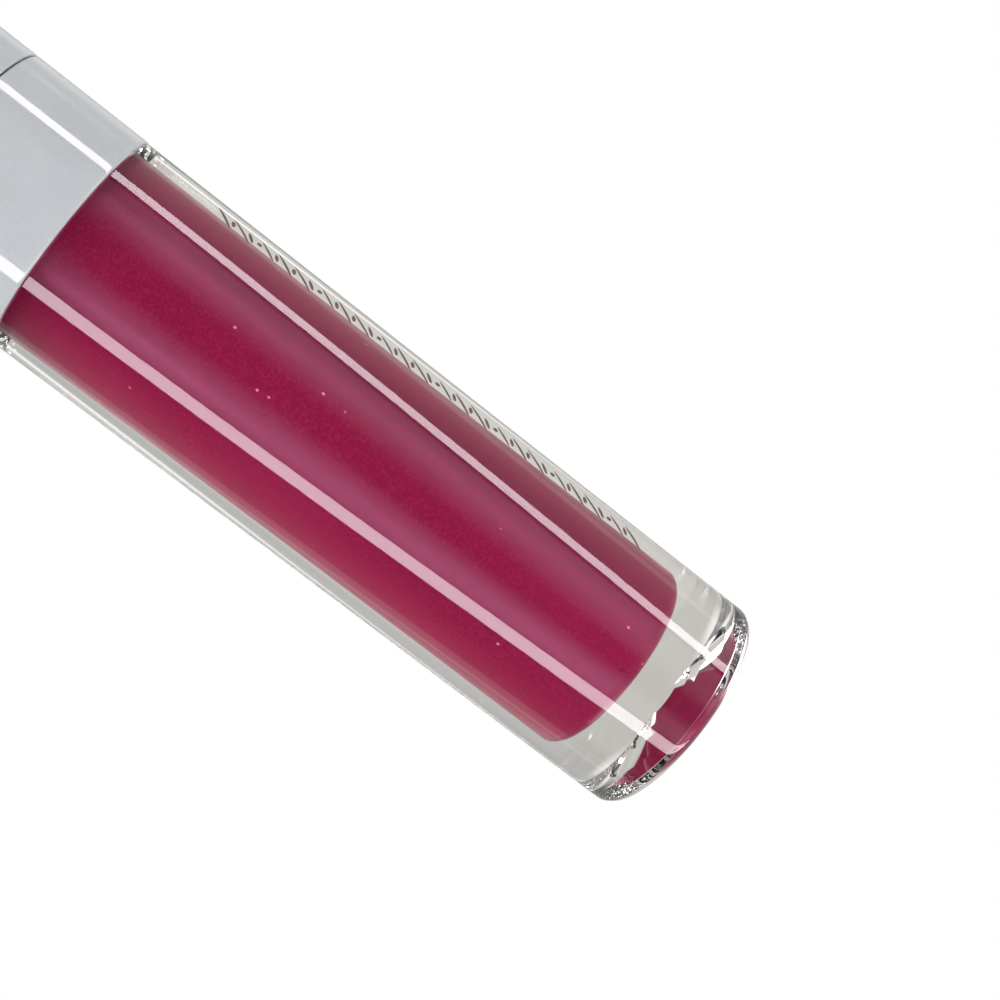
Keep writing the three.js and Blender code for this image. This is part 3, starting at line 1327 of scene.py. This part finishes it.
@dataclass(frozen=True)
class Camera:
    """The camera's place and aim in the tube's frame, its angles in degrees."""

    distance: float = 129.26 * MM
    height: float = 40.856 * MM
    yaw: float = 1.9195
    pitch: float = -8.870
    roll: float = -52.155
    lens: float = 62.957
    sensor: float = 36.0

    def build(self) -> None:
        """Place the camera."""
        yaw, pitch, roll = (math.radians(a) for a in (self.yaw, self.pitch, self.roll))
        ahead = Vector(
            (math.sin(yaw) * math.cos(pitch), math.cos(yaw) * math.cos(pitch), math.sin(pitch))
        )
        right = ahead.cross(Vector(AXIS)).normalized()
        up = right.cross(ahead)
        turned_right = right * math.cos(roll) + up * math.sin(roll)
        turned_up = up * math.cos(roll) - right * math.sin(roll)
        camera = bpy.data.objects.new("camera", bpy.data.cameras.new("camera"))
        camera.data.lens = self.lens
        camera.data.sensor_width = self.sensor
        camera.data.clip_start, camera.data.clip_end = 1 * MM, 100.0
        turn = Matrix((turned_right, turned_up, -ahead)).transposed().to_4x4()
        camera.matrix_world = Matrix.Translation((0, -self.distance, self.height)) @ turn
        bpy.context.scene.collection.objects.link(camera)
        bpy.context.scene.camera = camera


@dataclass(frozen=True)
class Band:
    """A stretch of the tent's wall, by its direction round the tube in degrees.

    The direction is 0 straight towards the camera's side and grows towards +X.
    """

    start: float
    end: float
    light: float
    soft_start: float = 1.0
    soft_end: float = 1.0
    tint: tuple[float, float, float] = (1.0, 1.0, 1.0)
    ceiling: float = 62.0
    soft_ceiling: float = 6.0
    floor: float = -62.0


def by_viewer(kit: NodeKit, hidden: Socket, seen: Socket) -> Socket:
    """Show one shader to the camera and another to everything else.

    Args:
        kit: The nodes to add to.
        hidden: The shader that lights the scene.
        seen: The shader that the camera sees.

    Returns:
        The joint shader's socket.
    """
    viewer = kit.add("ShaderNodeLightPath").outputs["Is Camera Ray"]
    return kit.out("ShaderNodeMixShader", viewer, hidden, seen)


@dataclass(frozen=True)
class Studio:
    """A pale tent with two strip lights, soft panels beside them and grey behind."""

    bands: tuple[Band, ...] = (
        Band(-58.7, -46.5, 10.5, 0.7, 0.7, (1.0, 0.93, 1.0)),
        Band(74.3, 82.7, 10.5, 0.7, 0.7, (1.0, 0.93, 1.0)),
        Band(-165.0, -62.0, 0.9, 20.0, 10.0, (0.96, 1.0, 1.0), floor=36.0),
        Band(-165.0, -100.0, 4.8, 10.0, 10.0, (1.0, 0.985, 0.98), floor=36.0),
        Band(-45.5, -17.0, 0.95, 4.0, 32.0, (1.0, 0.86, 1.0), 4.0, 6.0),
        Band(36.0, 71.0, 0.85, 30.0, 5.0, (1.0, 0.9, 1.0), 4.0, 6.0),
        Band(83.0, 154.0, 0.5, 2.0, 30.0, ceiling=12.0, floor=-22.0),
        Band(114.5, 121.0, 0.6, 2.0, 2.0, ceiling=12.0, floor=-22.0),
        Band(-120.0, -116.5, 0.7, 1.5, 1.5, ceiling=12.0, floor=-22.0),
        Band(-156.0, -107.0, 0.6, 30.0, 1.5, (1.0, 0.97, 0.9), ceiling=12.0, floor=-22.0),
    )
    slant: float = 0.197
    slant_bend: float = 1.4
    slant_level: float = 7.0
    slant_most: float = 20.0
    slant_grows: float = 25.0
    top_light: tuple[float, float, float] = (0.06, 0.085, 0.08)
    back_grey: tuple[float, float, float] = (0.57, 0.56, 0.525)
    back_start: float = 125.0
    back_full: float = 155.0
    roof_start: float = 20.0
    roof_full: float = 42.0
    floor_size: float = 40.0
    floor_drop: float = 0.02 * MM
    bounces: int = 32
    glossy_bounces: int = 24

    def world(self) -> None:
        """Build the light that surrounds the tube."""
        world = bpy.data.worlds.new("studio")
        bpy.context.scene.world = world
        world.use_nodes = True
        kit = NodeKit(world.node_tree)
        way = kit.add("ShaderNodeSeparateXYZ")
        kit.put(way, 0, kit.add("ShaderNodeTexCoord").outputs["Generated"])
        x, y, z = way.outputs
        azimuth = kit.maths("DEGREES", kit.maths("ARCTAN2", x, kit.maths("MULTIPLY", y, -1)))
        elevation = kit.maths("DEGREES", kit.maths("ARCSINE", z))
        below = kit.maths("MAXIMUM", kit.maths("SUBTRACT", self.slant_level, elevation), 0)
        bent = kit.maths("MULTIPLY", kit.maths("POWER", below, self.slant_bend), self.slant)
        lean = kit.maths("MINIMUM", bent, self.slant_most)
        side = kit.fade(azimuth, -self.slant_grows, self.slant_grows, -1, 1)
        leaned = kit.maths("ADD", azimuth, kit.maths("MULTIPLY", side, lean))
        behind = kit.fade(kit.maths("ABSOLUTE", azimuth), self.back_start, self.back_full)
        steep = kit.fade(kit.maths("ABSOLUTE", elevation), self.roof_start, self.roof_full)
        roof = kit.fade(elevation, self.roof_start, self.roof_full)
        lights = [
            self.tinted(kit, self.back_grey, kit.maths("MAXIMUM", behind, steep)),
            self.tinted(kit, self.top_light, roof),
            *(self.band(kit, leaned, elevation, band) for band in self.bands),
        ]
        total, *others = lights
        for light in others:
            total = kit.out("ShaderNodeVectorMath", total, light, operation="ADD")
        tent = kit.out("ShaderNodeBackground", total)
        paper = kit.out("ShaderNodeBackground", rgba(1, 1, 1))
        shader = by_viewer(kit, tent, paper)
        kit.put(kit.add("ShaderNodeOutputWorld"), "Surface", shader)

    @staticmethod
    def tinted(kit: NodeKit, tint: Sequence[float], level: object) -> Socket:
        """Scale a tint by a level.

        Args:
            kit: The world's nodes.
            tint: The colour.
            level: The brightness's socket.

        Returns:
            The scaled colour's socket.
        """
        node = kit.add("ShaderNodeVectorMath", operation="SCALE")
        kit.put(node, 0, tint)
        kit.put(node, "Scale", level)
        return node.outputs[0]

    def band(self, kit: NodeKit, azimuth: Socket, elevation: Socket, band: Band) -> Socket:
        """Build the light of one band.

        Args:
            kit: The world's nodes.
            azimuth: The direction round the tube, in degrees.
            elevation: The direction above the horizon, in degrees.
            band: The band's place, softness and brightness.

        Returns:
            The light's colour socket.
        """
        half_in, half_out = band.soft_start / 2, band.soft_end / 2
        rising = kit.fade(azimuth, band.start - half_in, band.start + half_in)
        falling = kit.fade(azimuth, band.end + half_out, band.end - half_out, 0, band.light)
        under = kit.fade(elevation, band.ceiling + band.soft_ceiling, band.ceiling)
        over = kit.fade(elevation, band.floor - band.soft_ceiling, band.floor)
        level = kit.maths("MULTIPLY", kit.maths("MULTIPLY", rising, falling), under)
        return self.tinted(kit, band.tint, kit.maths("MULTIPLY", level, over))

    def floor(self) -> None:
        """Lay a plain white floor under the tube."""
        deselect()
        bpy.ops.mesh.primitive_plane_add(size=self.floor_size, location=(0, 0, -self.floor_drop))
        floor = bpy.context.object
        floor.name = "floor"
        material = bpy.data.materials.new("paper")
        material.use_nodes = True
        kit = NodeKit(material.node_tree)
        matt = kit.out("ShaderNodeBsdfDiffuse", rgba(0.8, 0.8, 0.8))
        shader = by_viewer(kit, matt, kit.out("ShaderNodeEmission"))
        kit.put(kit.add("ShaderNodeOutputMaterial"), "Surface", shader)
        floor.data.materials.append(material)
        floor.visible_glossy = False
        floor.visible_transmission = False
        floor.visible_shadow = False

    def build(self) -> None:
        """Build the whole studio."""
        self.world()
        self.floor()
        scene = bpy.context.scene
        scene.view_settings.view_transform = "Standard"
        scene.view_settings.look = "None"
        scene.cycles.max_bounces = self.bounces
        scene.cycles.glossy_bounces = self.glossy_bounces
        scene.cycles.transmission_bounces = self.bounces


def main() -> None:
    """Build the studio and every sub-assembly."""
    logging.basicConfig(level=logging.INFO, format="%(name)s: %(message)s")
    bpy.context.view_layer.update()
    Camera().build()
    Studio().build()
    for assembly in (Container(), Closure(), Wand()):
        pieces = assembly.build()
        LOG.info("%s: %d pieces", type(assembly).__name__, len(pieces))


if __name__ == "__main__":
    main()
